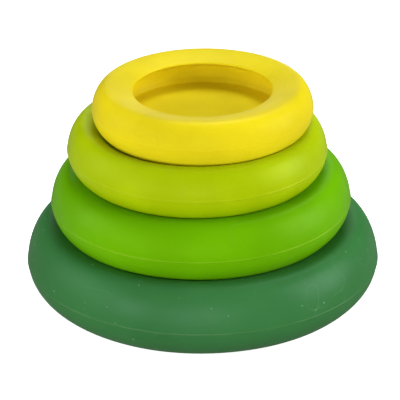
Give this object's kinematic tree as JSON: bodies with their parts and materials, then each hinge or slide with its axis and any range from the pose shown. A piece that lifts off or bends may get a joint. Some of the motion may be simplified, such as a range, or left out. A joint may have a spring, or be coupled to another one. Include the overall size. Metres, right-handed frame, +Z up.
{
  "type": "stacking silicone cup set",
  "caption": "Graduated soft cups with fat rolled rims, dished tops, undercut recesses and thin flexing floors, stacked in a tapering tower that lifts apart.",
  "frame": {"origin": "centre of the largest cup's flat base, on the surface that the stack stands on", "axes": "+Z up along the stack; +X to the right seen from the front; +Y towards the back"},
  "size_m": [0.11, 0.11, 0.0685],
  "materials": {
    "dark_green_silicone": "matte moulded silicone",
    "green_silicone": "matte moulded silicone",
    "lime_silicone": "matte moulded silicone",
    "yellow_silicone": "matte moulded silicone"
  },
  "bodies": {
    "dark_green_cup": {"dark_green_cup": "dark_green_silicone"},
    "dark_green_floor": {"dark_green_floor": "dark_green_silicone"},
    "green_cup": {"green_cup": "green_silicone"},
    "green_floor": {"green_floor": "green_silicone"},
    "lime_cup": {"lime_cup": "lime_silicone"},
    "lime_floor": {"lime_floor": "lime_silicone"},
    "yellow_cup": {"yellow_cup": "yellow_silicone"},
    "yellow_floor": {"yellow_floor": "yellow_silicone"}
  },
  "joints": [
    {"name": "green_lift", "type": "slide", "parent": "dark_green_cup", "child": "green_cup", "axis": [0, 0, 1], "range_m": [0, 0.04]},
    {"name": "lime_lift", "type": "slide", "parent": "green_cup", "child": "lime_cup", "axis": [0, 0, 1], "range_m": [0, 0.04]},
    {"name": "yellow_lift", "type": "slide", "parent": "lime_cup", "child": "yellow_cup", "axis": [0, 0, 1], "range_m": [0, 0.04]},
    {"name": "dark_green_floor_flex", "type": "slide", "parent": "dark_green_cup", "child": "dark_green_floor", "axis": [0, 0, 1], "range_m": [-0.0024, 0.0024], "stiffness_N_per_m": 800},
    {"name": "green_floor_flex", "type": "slide", "parent": "green_cup", "child": "green_floor", "axis": [0, 0, 1], "range_m": [-0.002, 0.002], "stiffness_N_per_m": 800},
    {"name": "lime_floor_flex", "type": "slide", "parent": "lime_cup", "child": "lime_floor", "axis": [0, 0, 1], "range_m": [-0.0016, 0.0016], "stiffness_N_per_m": 800},
    {"name": "yellow_floor_flex", "type": "slide", "parent": "yellow_cup", "child": "yellow_floor", "axis": [0, 0, 1], "range_m": [-0.0014, 0.0014], "stiffness_N_per_m": 800}
  ]
}
